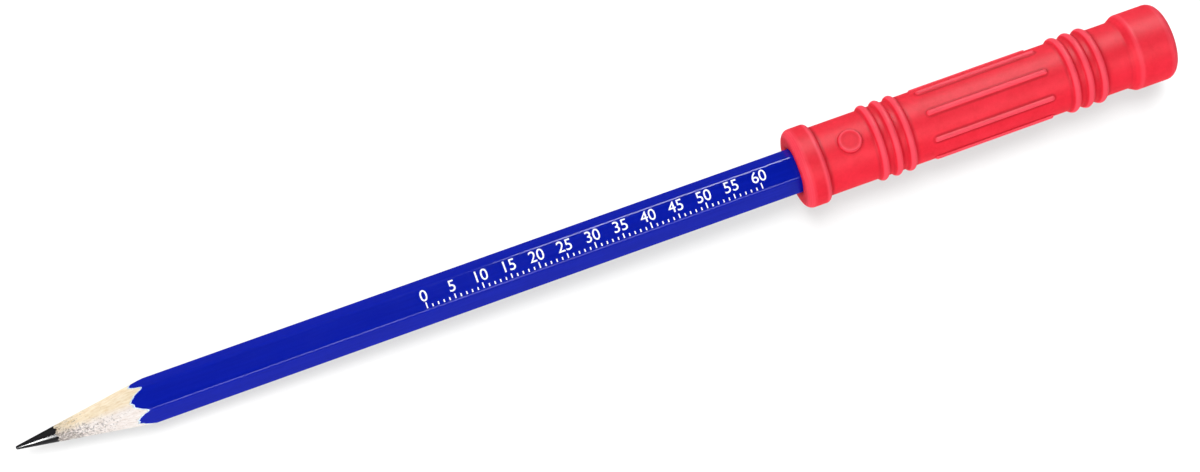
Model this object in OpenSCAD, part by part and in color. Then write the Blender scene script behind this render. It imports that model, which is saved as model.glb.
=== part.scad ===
// A chewable topper pushed onto the butt end of a sharpened hexagonal pencil.
// Millimetres. The pencil lies along X with its point towards -X, +Z is up, and the origin is on
// the floor under the middle of the whole object.

/* [Topper barrel] */
// Outside diameter of the plain barrel
barrel_diameter = 12.4; // [11:0.1:16]
// Depth of the round blind socket that the pencil goes into
socket_depth = 37.4; // [20:0.1:50]
// Radial play between the socket and the corners of the pencil
socket_clearance = 0.05; // [0.02:0.01:0.1]
// Width of the lead-in bevel at the mouth of the socket
mouth_bevel = 0.6; // [0.2:0.1:0.8]

/* [Topper collar] */
// Length of the collar round the mouth
collar_length = 4.6; // [4:0.1:8]
// How far the collar stands above the barrel
collar_rise = 0.9; // [0.6:0.05:2]
// Edge radius at the front of the collar
collar_front_round = 1.4; // [0.5:0.1:2.4]
// Edge radius at the back of the collar
collar_back_round = 0.5; // [0.2:0.1:1]

/* [Topper button] */
// Diameter of the raised round button
button_diameter = 4; // [2.5:0.1:5]
// How far the button stands above the barrel
button_rise = 0.5; // [0.3:0.05:0.8]
// Distance from the back of the collar to the middle of the button
button_setback = 5.3; // [4:0.1:6]
// Width of the rim round the dished middle of the button
button_rim = 0.45; // [0.3:0.05:0.8]
// Depth of the dish inside the rim
button_dish = 0.2; // [0.1:0.05:0.25]

/* [Topper ribs] */
// Number of ribs in each of the two groups
rib_count = 3; // [2:1:5]
// Distance between neighbouring ribs
rib_pitch = 2.55; // [2:0.05:4]
// How far a rib stands above the barrel
rib_rise = 0.6; // [0.3:0.05:0.8]
// Radius of a rib's round section
rib_round = 0.8; // [0.6:0.05:0.95]
// Distance from the back of the collar to the first rib
rib_setback = 10.1; // [9:0.1:14]

/* [Topper bars] */
// Number of raised bars round the barrel
bar_count = 8; // [4:1:12]
// Length of a bar
bar_length = 22.1; // [10:0.1:40]
// Width of a bar
bar_width = 1.1; // [0.8:0.1:2]
// How far a bar stands above the barrel
bar_rise = 0.45; // [0.2:0.05:0.5]
// Plain stretch between the bars and the nearest rib
bar_margin = 4.2; // [2:0.1:8]

/* [Topper end] */
// Distance from the last rib to the start of the shoulder
neck_length = 5.5; // [3:0.1:10]
// How far the neck lies below the barrel
neck_drop = 0.15; // [0.05:0.05:0.5]
// Length of the sloped shoulder between the neck and the end knob
shoulder_length = 1.4; // [0.8:0.1:3]
// Length of the end knob
knob_length = 7.1; // [4:0.1:12]
// How far the end knob stands above the barrel
knob_rise = 0.65; // [0.3:0.05:1]
// Edge radius at the end of the knob
knob_round = 1.2; // [0.5:0.1:2]

/* [Pencil] */
// Length of the sharpened pencil
pencil_length = 175; // [100:1:190]
// Distance across the flats of the finished pencil
across_flats = 7; // [6.5:0.1:7.6]
// Distance across the rounded corners of the finished pencil
across_corners = 7.9; // [7.7:0.05:8]
// How far the top flat is turned towards the front
pencil_turn = 6; // [0:1:59]
// Half angle of the sharpened cone
cone_half_angle = 9; // [8:0.1:14]
// Radius of the worn point
point_radius = 0.3; // [0.1:0.05:0.5]
// Thickness of the paint
paint_thickness = 0.1; // [0.05:0.01:0.2]
// Diameter of the writing core
core_diameter = 2.75; // [2:0.05:3.5]
// Radial room for glue round the core
core_clearance = 0.03; // [0.02:0.01:0.1]
// Room between the paint and the wood
paint_clearance = 0.01; // [0.01:0.01:0.03]
// Room between the two wooden halves
slat_clearance = 0.02; // [0.01:0.01:0.05]
// Gap between the butt of the pencil and the floor of the socket
butt_gap = 0.3; // [0.1:0.05:0.5]

/* [Hidden] */
round_faces = 96;
bar_faces = 24;
hex_sides = 6;
// A cutting body reaches this far past the surface that it cuts
reach = 1;

barrel_radius = barrel_diameter / 2;
collar_radius = barrel_radius + collar_rise;
knob_radius = barrel_radius + knob_rise;
neck_radius = barrel_radius - neck_drop;
rib_ring_radius = barrel_radius + rib_rise - rib_round;
rib_group_length = (rib_count - 1) * rib_pitch;
bar_radius = bar_width / 2;
socket_radius = across_corners / 2 + socket_clearance;

// Places along the topper, from its mouth
button_place = collar_length + button_setback;
front_ribs_start = collar_length + rib_setback;
bars_start = front_ribs_start + rib_group_length + bar_margin;
rear_ribs_start = bars_start + bar_length + bar_margin;
neck_start = rear_ribs_start + rib_group_length + rib_round;
shoulder_start = rear_ribs_start + rib_group_length + neck_length;
knob_start = shoulder_start + shoulder_length;
topper_length = knob_start + knob_length;

// Places along the whole object, from the point of the pencil
bare_pencil = pencil_length - (socket_depth - butt_gap);
whole_length = bare_pencil + topper_length;
axis_height = barrel_radius + max(collar_rise, knob_rise, rib_rise, button_rise, bar_rise);

// The widest cone that the sharpener could leave on the whole pencil
cone_far_radius = point_radius + pencil_length * tan(cone_half_angle);
core_radius = core_diameter / 2;

// Lays a piece that was made upright, from the point at z = 0, along X above the floor
module lay_down() {
    translate([-whole_length / 2, 0, axis_height])
        rotate([0, 90, 0])
            children();
}

// Turns a piece made towards +X so that it faces up, and then by an angle towards the front
module face_up(turn = 0) {
    rotate([0, 0, 180 + turn])
        children();
}

// A turned collar with both its edges rounded
module rounded_collar(radius, length, front_round, back_round) {
    rotate_extrude($fn = round_faces) {
        square([radius - front_round, length - back_round]);
        translate([0, front_round])
            square([radius, length - front_round - back_round]);
        translate([0, length / 2])
            square([radius - back_round, length / 2]);
        translate([radius - front_round, front_round])
            circle(r = front_round, $fn = round_faces);
        translate([radius - back_round, length - back_round])
            circle(r = back_round, $fn = round_faces);
    }
}

// The end knob, with a sharp front edge and a rounded end
module rounded_knob(radius, length, end_round) {
    rotate_extrude($fn = round_faces) {
        square([radius, length - end_round]);
        square([radius - end_round, length]);
        translate([radius - end_round, length - end_round])
            circle(r = end_round, $fn = round_faces);
    }
}

// One group of half-round ribs round the barrel
module rib_group(start) {
    for (i = [0 : rib_count - 1])
        translate([0, 0, start + i * rib_pitch])
            rotate_extrude($fn = round_faces)
                translate([rib_ring_radius, 0])
                    circle(r = rib_round, $fn = round_faces);
}

// One raised bar with round ends, its overall length set along the barrel
module bar() {
    translate([barrel_radius + bar_rise - bar_radius, 0, bars_start + bar_radius]) {
        cylinder(r = bar_radius, h = bar_length - bar_width, $fn = bar_faces);
        sphere(r = bar_radius, $fn = bar_faces);
        translate([0, 0, bar_length - bar_width])
            sphere(r = bar_radius, $fn = bar_faces);
    }
}

// The raised button, dished inside its rim
module button() {
    top = barrel_radius + button_rise;
    dish_diameter = button_diameter - 2 * button_rim;
    translate([0, 0, button_place])
        rotate([0, 90, 0])
            difference() {
                translate([0, 0, socket_radius + reach])
                    cylinder(d = button_diameter, h = top - socket_radius - reach, $fn = round_faces);
                translate([0, 0, top - button_dish])
                    cylinder(d = dish_diameter, h = button_dish + reach, $fn = round_faces);
            }
}

// The blind socket with its lead-in bevel
module socket() {
    translate([0, 0, -reach])
        cylinder(r = socket_radius, h = socket_depth + reach, $fn = round_faces);
    translate([0, 0, -reach])
        cylinder(
            r1 = socket_radius + mouth_bevel + reach,
            r2 = socket_radius,
            h = mouth_bevel + reach,
            $fn = round_faces
        );
}

// The whole moulding, mouth at z = 0
module topper_moulding() {
    difference() {
        union() {
            rounded_collar(collar_radius, collar_length, collar_front_round, collar_back_round);
            translate([0, 0, collar_length / 2])
                cylinder(r = barrel_radius, h = neck_start - collar_length / 2, $fn = round_faces);
            face_up()
                button();
            rib_group(front_ribs_start);
            for (i = [0 : bar_count - 1])
                face_up(i * 360 / bar_count)
                    bar();
            rib_group(rear_ribs_start);
            translate([0, 0, neck_start])
                cylinder(r = neck_radius, h = shoulder_start - neck_start, $fn = round_faces);
            translate([0, 0, shoulder_start])
                cylinder(r1 = neck_radius, r2 = knob_radius, h = shoulder_length, $fn = round_faces);
            translate([0, 0, knob_start])
                rounded_knob(knob_radius, knob_length, knob_round);
        }
        socket();
    }
}

// A hexagonal bar with slightly rounded corners, one flat facing +X
module hex_bar(flats, corners) {
    intersection() {
        rotate([0, 0, 180 / hex_sides])
            cylinder(d = flats / cos(180 / hex_sides), h = pencil_length, $fn = hex_sides);
        cylinder(d = corners, h = pencil_length, $fn = round_faces);
    }
}

// Everything that the sharpener leaves
module sharpened() {
    intersection() {
        cylinder(r1 = point_radius, r2 = cone_far_radius, h = pencil_length, $fn = round_faces);
        children();
    }
}

// The finished bar, made smaller all round by the given inset
module painted_bar(inset) {
    hex_bar(across_flats - 2 * inset, across_corners - 2 * inset);
}

// One grooved half of the wooden casing, on the +X side of the glue plane
module slat(turn) {
    groove_radius = core_radius + core_clearance;
    sharpened()
        face_up(turn)
            difference() {
                painted_bar(paint_thickness + paint_clearance);
                translate([0, 0, -reach])
                    cylinder(r = groove_radius, h = pencil_length + 2 * reach, $fn = round_faces);
                translate([slat_clearance / 2 - across_corners, -across_corners, -reach])
                    cube([across_corners, 2 * across_corners, pencil_length + 2 * reach]);
            }
}

// Chewable topper: one soft moulding that grips the pencil by its socket
module chew_topper() {
    color("#EE3646")
        lay_down()
            translate([0, 0, bare_pencil])
                topper_moulding();
}

// Glossy paint on the flats, ending in scallops where the sharpener cut it
module lacquer_coat() {
    color("#1327A6")
        lay_down()
            sharpened()
                face_up(pencil_turn)
                    difference() {
                        painted_bar(0);
                        painted_bar(paint_thickness);
                    }
}

// Upper half of the wooden casing
module upper_slat() {
    color("#F0DDBB")
        lay_down()
            slat(pencil_turn);
}

// Lower half of the wooden casing
module lower_slat() {
    color("#F0DDBB")
        lay_down()
            slat(pencil_turn + 180);
}

// Writing core, sharpened with the wood
module graphite_core() {
    color("#34343A")
        lay_down()
            sharpened()
                cylinder(r = core_radius, h = pencil_length, $fn = round_faces);
}

chew_topper();
lacquer_coat();
upper_slat();
lower_slat();
graphite_core();
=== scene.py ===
# %% [markdown]
# # A chewable topper on its pencil
# This lesson dresses a CAD model in Blender. The model is a soft red topper pushed onto the butt of
# a sharpened, painted pencil. The CAD solids give every place and size, so the first step only
# loads them and keeps their box. Nothing below moves or changes a CAD solid: each one is replaced
# by a finer mesh.

# %% Load the frame
import math

import bmesh
import bpy
from mathutils import Matrix, Vector, kdtree, noise


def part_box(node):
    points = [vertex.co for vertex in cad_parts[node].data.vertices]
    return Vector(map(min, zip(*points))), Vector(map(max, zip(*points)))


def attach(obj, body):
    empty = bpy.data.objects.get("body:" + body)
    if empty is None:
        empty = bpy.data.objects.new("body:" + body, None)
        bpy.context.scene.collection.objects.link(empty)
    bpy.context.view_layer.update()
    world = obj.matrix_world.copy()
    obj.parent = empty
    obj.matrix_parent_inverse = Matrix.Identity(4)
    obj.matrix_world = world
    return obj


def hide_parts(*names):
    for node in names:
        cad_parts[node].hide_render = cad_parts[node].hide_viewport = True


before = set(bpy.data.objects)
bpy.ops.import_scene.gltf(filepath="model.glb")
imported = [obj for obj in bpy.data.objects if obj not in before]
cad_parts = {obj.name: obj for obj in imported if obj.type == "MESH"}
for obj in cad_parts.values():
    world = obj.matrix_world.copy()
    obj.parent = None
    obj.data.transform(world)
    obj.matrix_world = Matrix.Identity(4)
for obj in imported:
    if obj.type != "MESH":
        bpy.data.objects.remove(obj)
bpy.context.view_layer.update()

scene = bpy.context.scene

# %% [markdown]
# ## The shared places
# Blender works in metres and the sizes of a pencil are easier in millimetres, so one factor turns
# the second into the first. The pencil's axis runs along X. Its point, its butt and the mouth of
# the topper are read from the boxes of the CAD solids.

# %% Places from the frame
MM = 0.001
core_low, core_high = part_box("graphite_core")
topper_low, topper_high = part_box("chew_topper")
point_x = core_low.x
butt_x = core_high.x
mouth_x = topper_low.x
topper_length = (topper_high.x - topper_low.x) / MM
axis = Vector((0, 0, (core_low.z + core_high.z) / 2))
print(
    f"bare pencil {(mouth_x - point_x) / MM:.1f} mm, topper {topper_length:.1f} mm, "
    f"axis at {axis.z / MM:.2f} mm"
)


def clock(place):
    """Angle round the axis, from the top towards the front, and distance from it in metres."""
    return math.atan2(-place.y, place.z - axis.z), math.hypot(place.y, place.z - axis.z)


def on_clock(x, angle, radius):
    """The point at that place along the axis, angle and distance, all in metres and radians."""
    return Vector((x, -radius * math.sin(angle), axis.z + radius * math.cos(angle)))


# %% [markdown]
# ## The camera
# The photograph looks down at the pencil from about 75 degrees, with the point nearer than the
# topper. A camera is matched by its distance, its direction and its lens: a focal length in pixels
# divided by the picture's width gives the lens for a 36 mm sensor.

# %% Camera
PICTURE_WIDTH = 1200
FOCAL_PIXELS = 2035
SENSOR = 36
ELEVATION = math.radians(74.56)
HEADING = math.radians(20.29)
DISTANCE = 345.7 * MM
AIM = axis + Vector((-0.61 * MM, 0.64 * MM, 0))

camera_data = bpy.data.cameras.new("photo_camera")
camera_data.sensor_width = SENSOR
camera_data.lens = FOCAL_PIXELS / PICTURE_WIDTH * SENSOR
camera_data.clip_start = 0.01
camera = bpy.data.objects.new("photo_camera", camera_data)
scene.collection.objects.link(camera)
look = Vector((
    math.sin(HEADING) * math.cos(ELEVATION),
    math.cos(HEADING) * math.cos(ELEVATION),
    -math.sin(ELEVATION),
))
camera.location = AIM - look * DISTANCE
camera.rotation_euler = look.to_track_quat("-Z", "Y").to_euler()
scene.camera = camera
print(f"lens {camera_data.lens:.1f} mm at {DISTANCE / MM:.0f} mm")

# %% [markdown]
# ## Two helpers for materials
# Colours are written as sRGB hex values, as a paint chart gives them, and the shader wants them
# linear. The other helper adds one node, sets what it is told and links the sockets that it is
# given.


# %% Material helpers
def linear(hex_colour):
    """A linear colour with alpha from an sRGB hex value."""
    parts = [int(hex_colour[i:i + 2], 16) / 255 for i in (1, 3, 5)]
    return [p / 12.92 if p <= 0.04045 else ((p + 0.055) / 1.055) ** 2.4 for p in parts] + [1]


def add(tree, kind, inputs=None, stops=None, **settings):
    """Adds a node. An input is a value or a socket, and stops are a ramp's places and colours."""
    made = tree.nodes.new("ShaderNode" + kind)
    for name, value in settings.items():
        setattr(made, name, value)
    for name, value in (inputs or {}).items():
        if isinstance(value, bpy.types.NodeSocket):
            tree.links.new(value, made.inputs[name])
        else:
            made.inputs[name].default_value = value
    for i, (place, colour) in enumerate(stops or []):
        stop = made.color_ramp.elements[i] if i < 2 else made.color_ramp.elements.new(place)
        stop.position = place
        stop.color = colour
    return made


def new_material(name):
    """An empty material, with its tree, its surface shader and the piece's own coordinates."""
    material = bpy.data.materials.new(name)
    material.use_nodes = True
    tree = material.node_tree
    tree.nodes.clear()
    shader = add(tree, "BsdfPrincipled")
    add(tree, "OutputMaterial", {"Surface": shader.outputs["BSDF"]})
    place = add(tree, "TexCoord").outputs["Object"]
    print("material", name)
    return material, tree, shader, place


def grey(value):
    """A grey ramp stop."""
    return [value, value, value, 1]


# %% [markdown]
# ## Soft red elastomer
# The topper is an injection moulded thermoplastic elastomer. The mould was spark eroded, which
# leaves a fine even grain, so the red stays saturated and shows almost no mirror image. A noise of
# about 0.3 mm gives the grain, and a slow one of several millimetres gives the faint clouds of
# pigment and handling. Ribs and edges get a painted highlight in a paler red, and creases a painted
# shade in a deeper red: the material reads how much the surface stands up from a number on each
# vertex, called relief, which is made with the mesh further below.

# %% Elastomer
GRAIN = 0.28 * MM
GRAIN_DEPTH = 0.03 * MM
CLOUD = 5 * MM


def moulded_elastomer():
    material, tree, shader, place = new_material("red_elastomer")
    cloud = add(
        tree, "TexNoise", {"Vector": place, "Scale": 1 / CLOUD, "Detail": 6, "Roughness": 0.8},
    )
    colour = add(
        tree, "ValToRGB", {"Fac": cloud.outputs["Fac"]},
        stops=[(0.3, linear("#D81B2D")), (0.7, linear("#EB283C"))],
    )
    relief = add(tree, "Attribute", attribute_name="relief")
    # Painted highlight: where the relief is high, the red is mixed towards a paler red.
    painted_highlight_share = add(
        tree, "MapRange",
        {"Value": relief.outputs["Fac"], "From Min": 0.15, "From Max": 0.6, "To Max": 0.5},
    )
    paler = add(
        tree, "Mix", {0: painted_highlight_share.outputs["Result"], 6: colour.outputs["Color"], 7: linear("#F75A6C")},
        data_type="RGBA",
    )
    # Painted shade: where the relief is below 0, in the creases, the red is mixed towards a deeper
    # red.
    crease = add(
        tree, "MapRange",
        {"Value": relief.outputs["Fac"], "From Min": 0.0, "From Max": -0.9, "To Max": 0.8},
    )
    deeper = add(
        tree, "Mix", {0: crease.outputs["Result"], 6: paler.outputs[2], 7: linear("#B80F22")},
        data_type="RGBA",
    )
    grain = add(
        tree, "TexNoise", {"Vector": place, "Scale": 1 / GRAIN, "Detail": 4, "Roughness": 0.6},
    )
    rough = add(
        tree, "ValToRGB", {"Fac": grain.outputs["Fac"]},
        stops=[(0.3, grey(0.42)), (0.7, grey(0.56))],
    )
    bump = add(
        tree, "Bump",
        {"Height": grain.outputs["Fac"], "Strength": 0.5, "Distance": GRAIN_DEPTH},
    )
    tree.links.new(deeper.outputs[2], shader.inputs["Base Color"])
    tree.links.new(rough.outputs["Color"], shader.inputs["Roughness"])
    tree.links.new(bump.outputs["Normal"], shader.inputs["Normal"])
    shader.inputs["IOR"].default_value = 1.5
    shader.inputs["Specular IOR Level"].default_value = 0.045
    return material


# %% [markdown]
# ## Blue pencil lacquer
# A pencil gets many thin coats of nitrocellulose lacquer. It is glossy, but the wood's grain shows
# through as faint long waves, and handling leaves a slight unevenness in the gloss. The mirror part
# is set low, or the pale room would lay a grey veil over the blue.

# %% Lacquer
WAVE_WIDTH = 0.5 * MM
WAVE_LENGTH = 9 * MM
WAVE_DEPTH = 0.004 * MM
RUB = 3 * MM


def pencil_lacquer():
    material, tree, shader, place = new_material("blue_lacquer")
    stretched = add(
        tree, "Mapping",
        {"Vector": place, "Scale": (1 / WAVE_LENGTH, 1 / WAVE_WIDTH, 1 / WAVE_WIDTH)},
    )
    wave = add(tree, "TexNoise", {"Vector": stretched.outputs["Vector"], "Scale": 1, "Detail": 2})
    colour = add(
        tree, "ValToRGB", {"Fac": wave.outputs["Fac"]},
        stops=[(0.3, linear("#061899")), (0.7, linear("#081BA2"))],
    )
    rub = add(tree, "TexNoise", {"Vector": place, "Scale": 1 / RUB, "Detail": 5, "Roughness": 0.65})
    rough = add(
        tree, "ValToRGB", {"Fac": rub.outputs["Fac"]},
        stops=[(0.3, grey(0.08)), (0.75, grey(0.14))],
    )
    bump = add(
        tree, "Bump",
        {"Height": wave.outputs["Fac"], "Strength": 0.25, "Distance": WAVE_DEPTH},
    )
    tree.links.new(colour.outputs["Color"], shader.inputs["Base Color"])
    tree.links.new(rough.outputs["Color"], shader.inputs["Roughness"])
    tree.links.new(bump.outputs["Normal"], shader.inputs["Normal"])
    shader.inputs["IOR"].default_value = 1.48
    shader.inputs["Specular IOR Level"].default_value = 0.1
    return material


# %% [markdown]
# ## Cut edge of the paint
# Where the sharpener cuts through the paint, its pale ground coat shows as a thin chalky line. It
# is dull, and a little uneven.

# %% Ground coat
CHALK = 0.3 * MM


def ground_coat():
    material, tree, shader, place = new_material("pale_ground_coat")
    chalk = add(tree, "TexNoise", {"Vector": place, "Scale": 1 / CHALK, "Detail": 3})
    colour = add(
        tree, "ValToRGB", {"Fac": chalk.outputs["Fac"]},
        stops=[(0.35, linear("#A9C6E6")), (0.65, linear("#E4F0F4"))],
    )
    tree.links.new(colour.outputs["Color"], shader.inputs["Base Color"])
    shader.inputs["Roughness"].default_value = 0.7
    return material


# %% [markdown]
# ## Sharpened wood
# The casing is a pale, close-grained wood such as basswood, cut bare by the sharpener. The grain
# runs along the pencil, so its noise is stretched along X. The blade tears the fibres a little,
# which gives a fine rough tooth, and it drags graphite off the core, which leaves a short grey
# smear beside it and specks that thin out away from it.

# %% Wood
GRAIN_WIDTH = 0.3 * MM
GRAIN_LENGTH = 1.6 * MM
TOOTH = 0.28 * MM
TOOTH_DEPTH = 0.05 * MM
DUST = 0.38 * MM
DUST_END = 20 * MM
SMEAR_LENGTH = 4.5 * MM
# The wood goes from warm cream to a paler, pinker tone towards the side that faces this way,
# and the border lies between two planes near the axis
PALE_SIDE = on_clock(0, math.radians(98), 1) - axis
PALE_START = axis.dot(PALE_SIDE) - 0.5 * MM
PALE_END = axis.dot(PALE_SIDE) + 0.7 * MM


def sharpened_wood(core_length):
    material, tree, shader, place = new_material("bare_basswood")
    stretched = add(
        tree, "Mapping",
        {"Vector": place, "Scale": (1 / GRAIN_LENGTH, 1 / GRAIN_WIDTH, 1 / GRAIN_WIDTH)},
    )
    grain = add(tree, "TexNoise", {"Vector": stretched.outputs["Vector"], "Scale": 1, "Detail": 4})
    warm = add(
        tree, "ValToRGB", {"Fac": grain.outputs["Fac"]},
        stops=[(0.3, linear("#D8C09A")), (0.7, linear("#EADDC6")), (0.5, linear("#E2D0B2"))],
    )
    pale = add(
        tree, "ValToRGB", {"Fac": grain.outputs["Fac"]},
        stops=[(0.3, linear("#D2C6BE")), (0.7, linear("#E9E3E0")), (0.5, linear("#DED5D0"))],
    )
    # Warm cream on one side of the cone, paler and pinker on the side that faces the direction
    # above.
    across = add(tree, "VectorMath", {0: place, 1: PALE_SIDE}, operation="DOT_PRODUCT")
    pale_share = add(
        tree, "MapRange",
        {"Value": across.outputs["Value"], "From Min": PALE_START, "From Max": PALE_END},
    )
    wood = add(
        tree, "Mix", {0: pale_share.outputs["Result"], 6: warm.outputs["Color"], 7: pale.outputs["Color"]},
        data_type="RGBA",
    )
    along = add(tree, "SeparateXYZ", {"Vector": place})
    wood_start = point_x + core_length
    close = add(tree, "MapRange", {"Value": pale_share.outputs["Result"], "To Min": 0.54, "To Max": 0.68})
    far = add(tree, "MapRange", {"Value": pale_share.outputs["Result"], "To Min": 0.28, "To Max": 0.42})
    near = add(
        tree, "MapRange",
        {"Value": along.outputs["X"], "From Min": wood_start, "From Max": point_x + DUST_END,
         "To Min": close.outputs["Result"], "To Max": far.outputs["Result"]},
    )
    dust = add(
        tree, "TexNoise", {"Vector": place, "Scale": 1 / DUST, "Detail": 3, "Roughness": 0.7},
    )
    specks = add(
        tree, "Math", {0: near.outputs["Result"], 1: dust.outputs["Fac"]}, operation="SUBTRACT",
    )
    mask = add(
        tree, "ValToRGB", {"Fac": specks.outputs["Value"]},
        stops=[(0.02, grey(0)), (0.18, grey(0.72))],
    )
    smear = add(
        tree, "MapRange",
        {"Value": along.outputs["X"], "From Min": wood_start,
         "From Max": wood_start + SMEAR_LENGTH, "To Min": 0.4, "To Max": 0.0},
    )
    smeared = add(
        tree, "Mix", {0: smear.outputs["Result"], 6: wood.outputs[2], 7: linear("#8C7E6A")},
        data_type="RGBA",
    )
    dirty = add(
        tree, "Mix", {0: mask.outputs["Color"], 6: smeared.outputs[2], 7: linear("#57504E")},
        data_type="RGBA",
    )
    tooth = add(
        tree, "TexNoise", {"Vector": place, "Scale": 1 / TOOTH, "Detail": 4, "Roughness": 0.65},
    )
    bump = add(
        tree, "Bump",
        {"Height": tooth.outputs["Fac"], "Strength": 0.5, "Distance": TOOTH_DEPTH},
    )
    tree.links.new(dirty.outputs[2], shader.inputs["Base Color"])
    tree.links.new(bump.outputs["Normal"], shader.inputs["Normal"])
    shader.inputs["Roughness"].default_value = 0.75
    shader.inputs["Specular IOR Level"].default_value = 0.12
    return material


# %% [markdown]
# ## Graphite
# The core is graphite and clay, fired and soaked in wax. The blade leaves it almost polished, with
# fine lines along the cut, so its highlight is a bright streak on a near-black ground.

# %% Graphite
SCORE_WIDTH = 0.12 * MM
SCORE_LENGTH = 2.5 * MM
SCORE_DEPTH = 0.008 * MM


def sharpened_graphite():
    material, tree, shader, place = new_material("waxed_graphite")
    stretched = add(
        tree, "Mapping",
        {"Vector": place, "Scale": (1 / SCORE_LENGTH, 1 / SCORE_WIDTH, 1 / SCORE_WIDTH)},
    )
    score = add(tree, "TexNoise", {"Vector": stretched.outputs["Vector"], "Scale": 1, "Detail": 3})
    colour = add(
        tree, "ValToRGB", {"Fac": score.outputs["Fac"]},
        stops=[(0.3, linear("#08080B")), (0.7, linear("#101014"))],
    )
    rough = add(
        tree, "ValToRGB", {"Fac": score.outputs["Fac"]},
        stops=[(0.3, grey(0.16)), (0.7, grey(0.26))],
    )
    bump = add(
        tree, "Bump",
        {"Height": score.outputs["Fac"], "Strength": 0.2, "Distance": SCORE_DEPTH},
    )
    tree.links.new(colour.outputs["Color"], shader.inputs["Base Color"])
    tree.links.new(rough.outputs["Color"], shader.inputs["Roughness"])
    tree.links.new(bump.outputs["Normal"], shader.inputs["Normal"])
    shader.inputs["IOR"].default_value = 1.5
    shader.inputs["Specular IOR Level"].default_value = 0.3
    return material


# %% [markdown]
# ## White printing ink
# The marks on the barrel are a pigmented hot stamp: opaque white with a soft sheen and slightly
# thin spots.

# %% Ink
THIN_SPOT = 0.4 * MM


def white_ink():
    material, tree, shader, place = new_material("white_stamp_ink")
    spot = add(tree, "TexNoise", {"Vector": place, "Scale": 1 / THIN_SPOT, "Detail": 2})
    colour = add(
        tree, "ValToRGB", {"Fac": spot.outputs["Fac"]},
        stops=[(0.3, linear("#DDE2F4")), (0.5, linear("#F8F9FD"))],
    )
    tree.links.new(colour.outputs["Color"], shader.inputs["Base Color"])
    shader.inputs["Roughness"].default_value = 0.42
    return material


# %% [markdown]
# ## From a bmesh to a piece
# Every piece ends the same way: its doubles are merged, its normals point outwards, it is shaded
# smooth, it rides on a CAD body, and the CAD solids that it stands for, if any, are hidden. A piece
# with long flats keeps the edges sharp where two faces meet at a steep angle, or smooth shading
# would bend the light on the flats.

# %% Piece helper
WELD = 0.002 * MM
SHARP_ANGLE = math.radians(30)
ROUND_SEGMENTS = 6


def finish_piece(bm, name, materials, body, nodes=(), sharp=False):
    """Turns a bmesh into a piece that rides on a body and stands for the CAD nodes.

    With sharp set, edges that turn by more than the sharp angle stay sharp.
    """
    bmesh.ops.remove_doubles(bm, verts=bm.verts[:], dist=WELD)
    bmesh.ops.recalc_face_normals(bm, faces=bm.faces[:])
    for face in bm.faces:
        face.smooth = True
    mesh = bpy.data.meshes.new(name)
    bm.to_mesh(mesh)
    bm.free()
    if sharp:
        mesh.set_sharp_from_angle(angle=SHARP_ANGLE)
    for material in materials:
        mesh.materials.append(material)
    piece = bpy.data.objects.new(name, mesh)
    scene.collection.objects.link(piece)
    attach(piece, body)
    if nodes:
        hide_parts(*nodes)
    print(name, len(mesh.polygons), "faces")
    return piece


def wire(bm, corners):
    """A wire through corners, each a place and how far from it, in mm, its rounding starts."""
    verts = [bm.verts.new(place) for place, _ in corners]
    for a, b in zip(verts, verts[1:]):
        bm.edges.new((a, b))
    for vert, (_, setback) in zip(verts, corners):
        if setback:
            bmesh.ops.bevel(
                bm, geom=[vert], offset=setback * MM, offset_type="OFFSET", affect="VERTICES",
                segments=ROUND_SEGMENTS, profile=0.5, material=-1, clamp_overlap=True,
            )


def split_long_edges(bm, longest, beyond=0):
    """Cuts edges beyond a radius that are longer than the given length into equal steps."""
    for edge in [e for e in bm.edges if all(clock(v.co)[1] > beyond for v in e.verts)]:
        cuts = math.ceil(edge.calc_length() / longest) - 1
        if cuts > 0:
            bmesh.ops.subdivide_edges(bm, edges=[edge], cuts=cuts)


# %% [markdown]
# ## The hexagonal barrel
# A pencil's barrel is a hexagon with small round corners. Its outline is a six-sided circle whose
# corners are bevelled. One flat looks nearly straight up, turned a little to the front, as the CAD
# has it.

# %% Barrel values
SIDES = 6
FLAT = 3.5
CORNER_ROUND = 0.6
PENCIL_TURN = math.radians(6)
SIXTH = math.radians(60)
CONE_SLOPE = math.tan(math.radians(9))
POINT_RADIUS = 0.3
CORE_RADIUS = 1.375
COAT = 0.05
core_length = (CORE_RADIUS - POINT_RADIUS) / CONE_SLOPE * MM


def hexagon_outline(bm, flat, step):
    """A closed rounded hexagon at the butt, of the given half width across its flats."""
    corner = flat / math.cos(SIXTH / 2) * MM
    made = bmesh.ops.create_circle(bm, cap_ends=False, segments=SIDES, radius=corner)
    for i, vert in enumerate(made["verts"]):
        vert.co = on_clock(butt_x, PENCIL_TURN + (i + 0.5) * SIXTH, corner)
    setback = CORNER_ROUND * math.tan(SIXTH / 2) * MM
    bmesh.ops.bevel(
        bm, geom=bm.verts[:], offset=setback, offset_type="OFFSET", affect="VERTICES",
        segments=ROUND_SEGMENTS, profile=0.5, material=-1,
    )
    split_long_edges(bm, step)


def cone_x(radius):
    """Where the sharpened cone has that radius, in metres."""
    return point_x + (radius - POINT_RADIUS * MM) / CONE_SLOPE


def cone_radius(x):
    """The radius of the sharpened cone at that place along the axis, in metres."""
    return POINT_RADIUS * MM + (x - point_x) * CONE_SLOPE


print(f"sharpened core {core_length / MM:.1f} mm long")

# %% [markdown]
# ## A torn edge
# A sharpener doesn't leave a clean edge on paint. The thin tongues of the scallops chip off, and
# the rest tears a little. A fractal noise round the barrel says how far the edge is torn back at
# each place.

# %% Torn edge
CHIP = 0.55 * MM
TEAR = 0.3 * MM
TEAR_SIZE = 0.6 * MM
# How fast the finer layers of a ragged edge fade, how much finer each is, and how many there are
RAGGED = (0.8, 2.0, 3)


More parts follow.
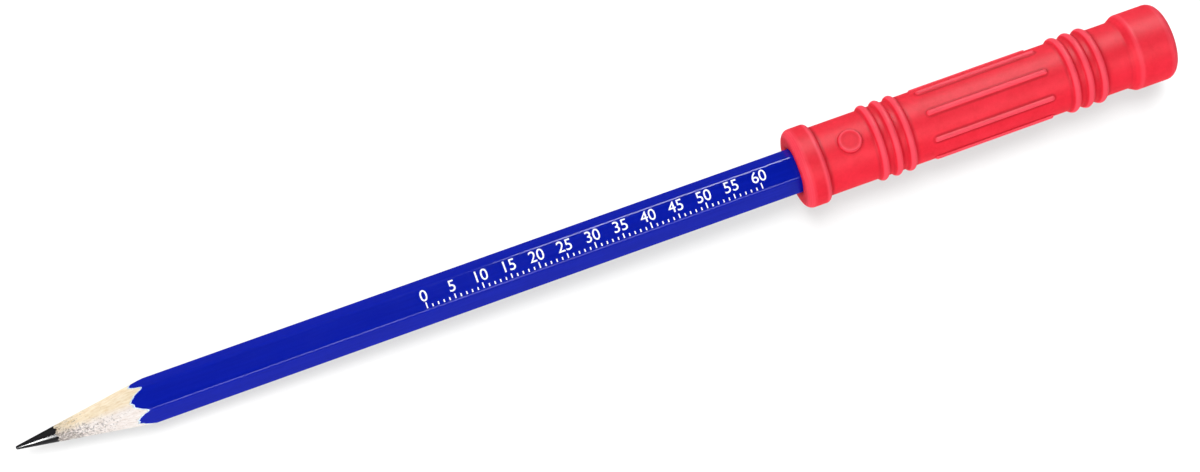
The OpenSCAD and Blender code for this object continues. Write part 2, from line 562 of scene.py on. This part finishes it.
def torn_edge(place):
    """How far the paint is torn back from a clean cut at that place, in metres."""
    angle, radius = clock(place)
    ring = Vector((0, radius * math.sin(angle), radius * math.cos(angle))) / TEAR_SIZE
    off = (angle - PENCIL_TURN + SIXTH / 2) % SIXTH - SIXTH / 2
    tongue = 1 - abs(off) / (SIXTH / 2)
    return max(CHIP * tongue + TEAR * noise.fractal(ring, *RAGGED), 0)


# %% [markdown]
# ## The paint
# The paint is a thin skin on the flats. Its front edge is where the cone of the sharpener meets the
# hexagon, which makes a scallop on each flat. So the outline is extruded towards the point, and
# each front vertex is moved along X to the place where the cone has its radius, with small tears. A
# second, inner loop gives the cut edge, which shows the ground coat.

# %% Paint piece
PAINT_STEP = 0.12 * MM
bm = bmesh.new()
hexagon_outline(bm, FLAT, PAINT_STEP)
outer_back = bm.edges[:]
made = bmesh.ops.extrude_edge_only(bm, edges=outer_back)["geom"]
outer_front = [g for g in made if isinstance(g, bmesh.types.BMEdge)]
for vert in {v for e in outer_front for v in e.verts}:
    vert.co.x = cone_x(clock(vert.co)[1]) + torn_edge(vert.co)
made = bmesh.ops.extrude_edge_only(bm, edges=outer_front)["geom"]
inner_front = [g for g in made if isinstance(g, bmesh.types.BMEdge)]
cut_faces = [g for g in made if isinstance(g, bmesh.types.BMFace)]
for vert in {v for e in inner_front for v in e.verts}:
    angle, radius = clock(vert.co)
    vert.co = on_clock(vert.co.x - COAT * MM / CONE_SLOPE, angle, radius - COAT * MM)
for face in cut_faces:
    face.material_index = 1
made = bmesh.ops.extrude_edge_only(bm, edges=inner_front)["geom"]
inner_back = [g for g in made if isinstance(g, bmesh.types.BMEdge)]
for vert in {v for e in inner_back for v in e.verts}:
    vert.co.x = butt_x
for edge in outer_front + outer_back + inner_back:
    edge.smooth = False
bmesh.ops.bridge_loops(bm, edges=outer_back + inner_back)
paint = finish_piece(
    bm, "lacquer_skin", [pencil_lacquer(), ground_coat()],
    "pencil", ["lacquer_coat"],
)

# %% [markdown]
# ## The wooden casing
# Two grooved slats are glued round the core. Each is half of one closed shape: the sharpened cone,
# the hexagon under the paint, the butt and the groove. The whole is extruded loop by loop, then cut
# along the glue plane, once for each half.

# %% Casing pieces
GROOVE_RADIUS = 1.405
PAINT_GAP = 0.01
SLAT_GAP = 0.005
CASING_STEP = 0.15 * MM
CONE_ROWS = 40
CRUMBLE = 0.5 * MM
CRUMBLE_MIDDLE = 0.4
CRUMBLE_SIZE = 0.7 * MM


def crumbled_edge(angle):
    """Where the wood starts at that angle: it crumbles back a little from its groove's edge."""
    ring = on_clock(0, angle, GROOVE_RADIUS * MM) / CRUMBLE_SIZE
    share = max(CRUMBLE_MIDDLE + noise.fractal(ring, *RAGGED), 0)
    return cone_x(GROOVE_RADIUS * MM) + CRUMBLE * share


def casing_half(side):
    """One slat: side is 1 for the half under the top flat and -1 for the other."""
    bm = bmesh.new()
    hexagon_outline(bm, FLAT - COAT - PAINT_GAP, CASING_STEP)
    back = bm.edges[:]
    made = bmesh.ops.extrude_edge_only(bm, edges=back)["geom"]
    front = [g for g in made if isinstance(g, bmesh.types.BMEdge)]
    for vert in {v for e in front for v in e.verts}:
        vert.co.x = cone_x(clock(vert.co)[1])
    made = bmesh.ops.extrude_edge_only(bm, edges=front)["geom"]
    tip = [g for g in made if isinstance(g, bmesh.types.BMEdge)]
    cone = [g for g in made if isinstance(g, bmesh.types.BMFace)]
    for vert in {v for e in tip for v in e.verts}:
        angle = clock(vert.co)[0]
        x = crumbled_edge(angle)
        vert.co = on_clock(x, angle, cone_radius(x))
    ends = set(front + tip)
    slant = [e for e in dict.fromkeys(e for f in cone for e in f.edges) if e not in ends]
    bmesh.ops.subdivide_edges(bm, edges=slant, cuts=CONE_ROWS, use_grid_fill=True)
    made = bmesh.ops.extrude_edge_only(bm, edges=tip)["geom"]
    groove_front = [g for g in made if isinstance(g, bmesh.types.BMEdge)]
    for vert in {v for e in groove_front for v in e.verts}:
        vert.co = on_clock(vert.co.x, clock(vert.co)[0], GROOVE_RADIUS * MM)
    made = bmesh.ops.extrude_edge_only(bm, edges=groove_front)["geom"]
    groove_back = [g for g in made if isinstance(g, bmesh.types.BMEdge)]
    for vert in {v for e in groove_back for v in e.verts}:
        vert.co.x = butt_x
    bmesh.ops.bridge_loops(bm, edges=back + groove_back)
    normal = on_clock(0, PENCIL_TURN, 1) - axis
    cut = bmesh.ops.bisect_plane(
        bm, geom=bm.verts[:] + bm.edges[:] + bm.faces[:],
        plane_co=axis + normal * SLAT_GAP * MM * side, plane_no=normal * side, clear_inner=True,
    )["geom_cut"]
    bmesh.ops.holes_fill(bm, edges=[g for g in cut if isinstance(g, bmesh.types.BMEdge)])
    return bm


wood = sharpened_wood(core_length)
finish_piece(
    casing_half(1), "upper_casing", [wood], "pencil", ["upper_slat"], sharp=True,
)
finish_piece(
    casing_half(-1), "lower_casing", [wood], "pencil", ["lower_slat"], sharp=True,
)

# %% [markdown]
# ## The writing core
# The core is a straight rod, sharpened with the wood and worn round at its tip. A wire with rounded
# corners is its outline, and a full spin makes the solid.

# %% Core piece
CORE_STEPS = 96
bm = bmesh.new()
wire(bm, [
    (on_clock(point_x, 0, 0), 0),
    (on_clock(point_x, 0, POINT_RADIUS * MM), 0.2),
    (on_clock(point_x + core_length, 0, CORE_RADIUS * MM), 0),
    (on_clock(butt_x, 0, CORE_RADIUS * MM), 0.1),
    (on_clock(butt_x, 0, 0), 0),
])
bmesh.ops.spin(
    bm, geom=bm.verts[:] + bm.edges[:], cent=axis, axis=(1, 0, 0), angle=2 * math.pi,
    steps=CORE_STEPS, use_merge=True,
)
finish_piece(
    bm, "writing_core", [sharpened_graphite()], "pencil", ["graphite_core"], sharp=True,
)

# %% [markdown]
# ## The topper's turned shape
# The moulding is mostly a turned shape: a rounded collar at the mouth, a plain barrel, two groups
# of ribs, a neck and an end knob, and the blind socket inside. Its outline is one wire from the
# socket's floor, out through the mouth and along the outside to the middle of the end. Soft plastic
# has no sharp corners, so each corner has a setback.

# %% Topper values
SOCKET_DEPTH = 37.4
SOCKET_RADIUS = 4.0
OUTSIDE = (SOCKET_RADIUS + 1) * MM
BARREL = 6.2
COLLAR = 7.1
COLLAR_LENGTH = 4.6
COLLAR_TOP_END = COLLAR_LENGTH - 0.1
COLLAR_FOOT = COLLAR_LENGTH + 0.15
MOUTH_INSET = 0.25
RIB = 6.8
RIB_FOOT = 0.8
RIB_TOP = 0.34
RIB_FOOT_ROUND = 0.25
RIB_TOP_ROUND = 0.32
RIBS = [14.7, 17.25, 19.8, 50.3, 52.85, 55.4]
NECK = 6.05
NECK_START = 57
SHOULDER_START = 60.9
SHOULDER_END = 62.3
KNOB = 6.85
TOPPER_STEPS = 192
ROW = 0.3 * MM


def topper_place(along, radius):
    """A point of the outline, from its distance to the mouth and its radius in millimetres."""
    return on_clock(mouth_x + along * MM, 0, radius * MM)


def rib_corners(middle):
    """The four corners of one rib, soft at the top and at the foot."""
    return [
        (topper_place(middle - RIB_FOOT, BARREL), RIB_FOOT_ROUND),
        (topper_place(middle - RIB_TOP, RIB), RIB_TOP_ROUND),
        (topper_place(middle + RIB_TOP, RIB), RIB_TOP_ROUND),
        (topper_place(middle + RIB_FOOT, BARREL), RIB_FOOT_ROUND),
    ]


outline = [
    (topper_place(SOCKET_DEPTH, 0), 0),
    (topper_place(SOCKET_DEPTH, SOCKET_RADIUS), 0.25),
    (topper_place(MOUTH_INSET, SOCKET_RADIUS), 0.8),
    (topper_place(MOUTH_INSET, COLLAR), 1.4),
    (topper_place(COLLAR_TOP_END, COLLAR), 0.6),
    (topper_place(COLLAR_FOOT, BARREL), 0.3),
]
for middle in RIBS:
    outline += rib_corners(middle)
outline += [
    (topper_place(NECK_START, NECK), 0.3),
    (topper_place(SHOULDER_START, NECK), 0.2),
    (topper_place(SHOULDER_END, KNOB), 0.15),
    (topper_place(topper_length, KNOB), 1.5),
    (topper_place(topper_length, 0), 0),
]

bm = bmesh.new()
wire(bm, outline)
split_long_edges(bm, ROW, beyond=OUTSIDE)
bmesh.ops.spin(
    bm, geom=bm.verts[:] + bm.edges[:], cent=axis, axis=(1, 0, 0), angle=2 * math.pi,
    steps=TOPPER_STEPS, use_merge=True,
)
bmesh.ops.remove_doubles(bm, verts=bm.verts[:], dist=WELD)
print("turned topper", len(bm.faces), "faces")

# %% [markdown]
# ## Raised bars
# Eight bars stand on the barrel between the two groups of ribs. They belong to the same moulding,
# so they aren't separate pieces: the mesh is refined along each bar, and its vertices are raised by
# a soft half-round section that ends in a half circle.

# %% Bars
BAR_COUNT = 8
BAR_START = 24.0 * MM
BAR_END = 46.1 * MM
BAR_RISE = 0.45 * MM
BAR_FOOT = 0.44 * MM
BAR_MARGIN = 0.35 * MM


def bar_distance(place):
    """Distance over the surface to the middle line of the nearest bar, in metres."""
    angle, radius = clock(place)
    spacing = 2 * math.pi / BAR_COUNT
    sideways = (angle - round(angle / spacing) * spacing) * radius
    along = place.x - mouth_x
    beyond = max(BAR_START + BAR_FOOT - along, along - BAR_END + BAR_FOOT, 0)
    return math.hypot(sideways, beyond)


def is_barrel(place):
    """Whether a point lies on the outside of the topper."""
    return clock(place)[1] > OUTSIDE


def ease(share):
    """A smooth step from 0 to 1."""
    share = min(max(share, 0), 1)
    return share * share * (3 - 2 * share)


near_bars = [
    e for e in bm.edges
    if all(is_barrel(v.co) and bar_distance(v.co) < BAR_FOOT + BAR_MARGIN for v in e.verts)
]
bmesh.ops.subdivide_edges(bm, edges=near_bars, cuts=1, use_grid_fill=True)
for vert in bm.verts:
    share = bar_distance(vert.co) / BAR_FOOT
    if share < 1 and is_barrel(vert.co):
        angle, radius = clock(vert.co)
        vert.co = on_clock(vert.co.x, angle, radius + BAR_RISE * math.sqrt(1 - share * share))
print("with bars", len(bm.faces), "faces")

# %% [markdown]
# ## The round button
# A flat round boss sits on top of the barrel behind the collar, with a narrow rim round a shallow
# dish. The mesh is refined there twice, and the vertices inside the circle are lifted to the boss's
# height.

# %% Button
BUTTON_X = mouth_x + 9.9 * MM
BUTTON_RADIUS = 2.0 * MM
BUTTON_RISE = 0.55
BUTTON_TOP = axis.z + (BARREL + BUTTON_RISE) * MM
BUTTON_RIM = 0.5 * MM
BUTTON_DISH = 0.05 * MM
BUTTON_FOOT = 0.3 * MM
BUTTON_REFINES = 2


def button_distance(place):
    """Distance from the middle of the button, seen from above, in metres."""
    if place.z > axis.z and is_barrel(place):
        return math.hypot(place.x - BUTTON_X, place.y)
    return math.inf


for _ in range(BUTTON_REFINES):
    near_button = [
        e for e in bm.edges
        if all(button_distance(v.co) < BUTTON_RADIUS + 2 * BUTTON_FOOT for v in e.verts)
    ]
    bmesh.ops.subdivide_edges(bm, edges=near_button, cuts=1, use_grid_fill=True)
for vert in bm.verts:
    reach = button_distance(vert.co)
    if reach < BUTTON_RADIUS + BUTTON_FOOT / 2:
        edge = ease((BUTTON_RADIUS + BUTTON_FOOT / 2 - reach) / BUTTON_FOOT)
        dish = BUTTON_DISH * ease((BUTTON_RADIUS - BUTTON_RIM / 2 - reach) / BUTTON_RIM)
        vert.co.z += edge * (BUTTON_TOP - dish - vert.co.z)
print("with button", len(bm.faces), "faces")

# %% [markdown]
# ## The stretched socket
# The socket is moulded round, but the soft wall closes on the pencil and takes the shape of its
# flats. So the socket's vertices are drawn in to the hexagon plus a hair's breadth, which also
# shuts the gap that a round mouth would show.

# %% Socket
GRIP = 0.06
LIP = 0.9
SOCKET_END = (SOCKET_DEPTH + 1) * MM
FLOOR_MIDDLE = 0.1 * MM


def hexagon_radius(angle):
    """Distance from the axis to the rounded hexagon in that direction, in millimetres."""
    off = (angle - PENCIL_TURN + SIXTH / 2) % SIXTH - SIXTH / 2
    corner_middle = (FLAT - CORNER_ROUND) / math.cos(SIXTH / 2)
    from_corner = SIXTH / 2 - abs(off)
    side = corner_middle * math.sin(from_corner)
    if side < CORNER_ROUND * math.sin(SIXTH / 2):
        return corner_middle * math.cos(from_corner) + math.sqrt(CORNER_ROUND ** 2 - side ** 2)
    return FLAT / math.cos(off)


for vert in bm.verts:
    angle, radius = clock(vert.co)
    inside = vert.co.x - mouth_x < SOCKET_END
    if inside and FLOOR_MIDDLE < radius < (SOCKET_RADIUS + LIP) * MM:
        drawn = radius - (SOCKET_RADIUS - GRIP - hexagon_radius(angle)) * MM
        lip = ease(((SOCKET_RADIUS + LIP) * MM - radius) / (LIP * MM))
        deep = ease(radius / (SOCKET_RADIUS * MM))
        vert.co = on_clock(vert.co.x, angle, radius + (drawn - radius) * lip * deep)
print(f"socket drawn in to {FLAT + GRIP:.2f} mm at the flats")

# %% [markdown]
# ## Painted highlight and shade from the relief
# The raised parts of the moulding get a painted highlight and its creases a painted shade. So each
# vertex gets a number that the material reads: how far the surface round it falls away below its
# own plane. A rib is near 1, a plain stretch near 0, and a crease is below 0.

# %% Relief
RELIEF_REACH = 0.7 * MM
RELIEF_FULL = 0.1 * MM

bm.normal_update()
bmesh.ops.recalc_face_normals(bm, faces=bm.faces[:])
relief = bm.verts.layers.float.new("relief")
outside = [v for v in bm.verts if is_barrel(v.co)]
neighbours = kdtree.KDTree(len(outside))
for i, vert in enumerate(outside):
    neighbours.insert(vert.co, i)
neighbours.balance()
for vert in outside:
    near = neighbours.find_range(vert.co, RELIEF_REACH)
    fall = sum((vert.co - place).dot(vert.normal) for place, _, _ in near) / len(near)
    vert[relief] = fall / RELIEF_FULL
values = [v[relief] for v in outside]
print(f"relief from {min(values):.2f} to {max(values):.2f}")
finish_piece(
    bm, "soft_topper", [moulded_elastomer()], "topper", ["chew_topper"],
)

# %% [markdown]
# ## A plain printed scale
# A plain millimetre scale is printed in white along the top flat of the barrel: a tick for each
# millimetre and a number at every fifth. Each mark is a thin plate that lies on the paint.

# %% Scale print
SCALE_START = 71.5 * MM
SCALE_LENGTH = 60
NUMBER_STEP = 5
TICK_WIDTH = 0.2
TICK_FOOT = -1.6
TICKS = {10: 1.0, 5: 0.8, 1: 0.5}
DIGIT_HEIGHT = 1.9
DIGIT_MIDDLE = 0.5
# A digit is this share of the font's size high
DIGIT_SHARE = 0.69
INK = 0.02
flat_frame = (
    Matrix.Translation(on_clock(point_x + SCALE_START, PENCIL_TURN, FLAT * MM))
    @ Matrix.Rotation(PENCIL_TURN, 4, "X")
    @ Matrix.Scale(MM, 4)
)


def add_tick(bm, along, height):
    """A thin upright plate, its foot on the line of the scale."""
    size = Matrix.Diagonal((TICK_WIDTH, height, INK, 1))
    place = Matrix.Translation((along, TICK_FOOT + height / 2, 0))
    bmesh.ops.create_cube(bm, size=1, matrix=place @ size)


def add_number(bm, along, number):
    """A plain number made as text, turned into a thin plate."""
    text = bpy.data.curves.new("number", "FONT")
    text.body = str(number)
    text.size = DIGIT_HEIGHT / DIGIT_SHARE
    text.align_x = "CENTER"
    text.align_y = "CENTER"
    text.extrude = INK / 2
    holder = bpy.data.objects.new("number", text)
    mesh = bpy.data.meshes.new_from_object(holder)
    mesh.transform(Matrix.Translation((along, DIGIT_MIDDLE, 0)))
    bm.from_mesh(mesh)
    bpy.data.objects.remove(holder)
    bpy.data.curves.remove(text)
    bpy.data.meshes.remove(mesh)


bm = bmesh.new()
for step in range(SCALE_LENGTH + 1):
    add_tick(bm, step, next(h for every, h in TICKS.items() if step % every == 0))
for step in range(0, SCALE_LENGTH + 1, NUMBER_STEP):
    add_number(bm, step, step)
bmesh.ops.transform(bm, matrix=flat_frame, verts=bm.verts[:])
marks = finish_piece(bm, "scale_print", [white_ink()], "pencil")
for polygon in marks.data.polygons:
    polygon.use_smooth = False

# %% [markdown]
# ## The table
# The topper is thicker than the pencil, and the frame has the pencil level, so on a flat table the
# pencil would hang in the air. A sheet of paper that bends a little under the collar carries both:
# it stays level under the topper and rises towards the point, by the least slope that a vertex of
# the paint allows. The sheet lies on a light table, so it glows and reflects little. It is left out
# of mirror images, or it would turn the back flat of the paint grey.

# %% Floor
FLOOR_HALF = 3.0
SHEET_GLOW = 0.605
collar_x = mouth_x + COLLAR_LENGTH / 2 * MM
slope = min(v.co.z / (collar_x - v.co.x) for v in paint.data.vertices if v.co.x < mouth_x)
bm = bmesh.new()
bmesh.ops.create_grid(bm, x_segments=2, y_segments=1, size=FLOOR_HALF)
for vert in bm.verts:
    vert.co.z = slope * max(-vert.co.x, 0)
    vert.co.x += collar_x
print(f"the sheet bends by {math.degrees(math.atan(slope)):.2f} degrees under the collar")
floor_mesh = bpy.data.meshes.new("floor")
bm.to_mesh(floor_mesh)
bm.free()
floor = bpy.data.objects.new("floor", floor_mesh)
scene.collection.objects.link(floor)
floor_material, _, floor_shader, _ = new_material("white_table")
floor_shader.inputs["Base Color"].default_value = linear("#3A3A3A")
floor_shader.inputs["Roughness"].default_value = 0.8
floor_shader.inputs["Emission Color"].default_value = grey(1)
floor_shader.inputs["Emission Strength"].default_value = SHEET_GLOW
floor_mesh.materials.append(floor_material)
floor.visible_glossy = False

# %% [markdown]
# ## Studio lights
# A glossy thing is lit twice. Large boxes that light only the matt part of a surface give the even
# colours. Strips that show only as mirror images draw the bright lines on the hexagon's edges and
# on the lead: each stands where the line of sight goes when it is mirrored in that edge.


# %% Lights
def soft_box(name, place, size, power, at=axis, along=(1, 0, 0), matt=True, gloss=True):
    """A rectangular area light that looks at a point, its first side along the given direction."""
    data = bpy.data.lights.new(name, "AREA")
    data.shape = "RECTANGLE"
    data.size, data.size_y = size
    data.energy = power
    box = bpy.data.objects.new(name, data)
    back = (Vector(place) - at).normalized()
    side = back.cross(Vector(along)).normalized()
    turned = Matrix((side.cross(back), side, back)).transposed().to_4x4()
    box.matrix_world = Matrix.Translation(place) @ turned
    box.visible_diffuse = matt
    box.visible_glossy = gloss
    scene.collection.objects.link(box)
    print(name, "at", place)


soft_box("top_box", (-0.05, 0.2, 0.9), (0.3, 0.3), 3.5, gloss=False)
soft_box("left_box", (-0.55, 0.12, 0.7), (0.4, 0.4), 2.2, gloss=False)
soft_box("front_fill", (-0.1, -0.95, 0.25), (0.9, 0.4), 5.0, gloss=False)
soft_box("back_fill", (0, 0.95, 0.3), (0.9, 0.4), 2.8, gloss=False)
soft_box(
    "back_strip", (0.48, 0.62, 0.68), (0.9, 0.55), 77.0,
    at=Vector((0.48, 0, axis.z)), matt=False,
)
soft_box("front_strip", (0.05, -0.6, 0.72), (1.3, 0.45), 36.0, matt=False)
soft_box(
    "point_strip", (-0.486, -0.37, 0.605), (0.12, 0.3), 13.0,
    at=Vector((point_x, 0, axis.z)), along=(0.87, -0.3, 0.39), matt=False,
)

# %% [markdown]
# ## The shadow on the table
# One more lamp lights nothing but the table, through light linking. It draws the soft grey shadow
# below the object, and the shadow's depth can be set without a change to the object's colours. The
# wider the lamp's angle, the softer the shadow.

# %% Table lamp
SUN_POWER = 25.5
SUN_WIDTH = math.radians(38)
SUN_FROM = Vector((-0.05, 0.18, 0.9))

table = bpy.data.collections.new("table")
table.objects.link(floor)
sun_data = bpy.data.lights.new("table_sun", "SUN")
sun_data.energy = SUN_POWER
sun_data.angle = SUN_WIDTH
sun = bpy.data.objects.new("table_sun", sun_data)
sun.rotation_euler = SUN_FROM.to_track_quat("Z", "Y").to_euler()
sun.visible_glossy = False
sun.light_linking.receiver_collection = table
scene.collection.objects.link(sun)

# %% [markdown]
# ## The room
# The world is an even pale room with a dark ceiling. The top flat of the pencil mirrors the
# ceiling, which keeps its blue deep. Mirror images leave out the table, so what they show below it
# is set here: bright in front, for the front flat, and dark behind.

# %% World
ROOM_STRENGTH = 0.4
FRONT_GLOW = 2.1

world = bpy.data.worlds.new("studio")
scene.world = world
world.use_nodes = True
sky = world.node_tree
sky.nodes.clear()
up = add(sky, "SeparateXYZ", {"Vector": add(sky, "TexCoord").outputs["Generated"]})
shade = add(
    sky, "ValToRGB", {"Fac": up.outputs["Z"]},
    stops=[(0.0, grey(0.0)), (0.02, grey(1.0)), (0.88, grey(1.0)), (0.955, grey(0.02))],
)
below = add(sky, "Math", {0: up.outputs["Z"], 1: 0.0}, operation="LESS_THAN")
glow = add(
    sky, "MapRange",
    {"Value": up.outputs["Y"], "From Min": -1.0, "To Min": FRONT_GLOW, "To Max": 0.0},
)
room = add(
    sky, "Math", {0: below.outputs["Value"], 1: glow.outputs["Result"], 2: shade.outputs["Color"]},
    operation="MULTIPLY_ADD",
)
light = add(sky, "Background", {"Color": room.outputs["Value"], "Strength": ROOM_STRENGTH})
add(sky, "OutputWorld", {"Surface": light.outputs["Background"]})
scene.view_settings.view_transform = "Standard"
print("world", world.name)
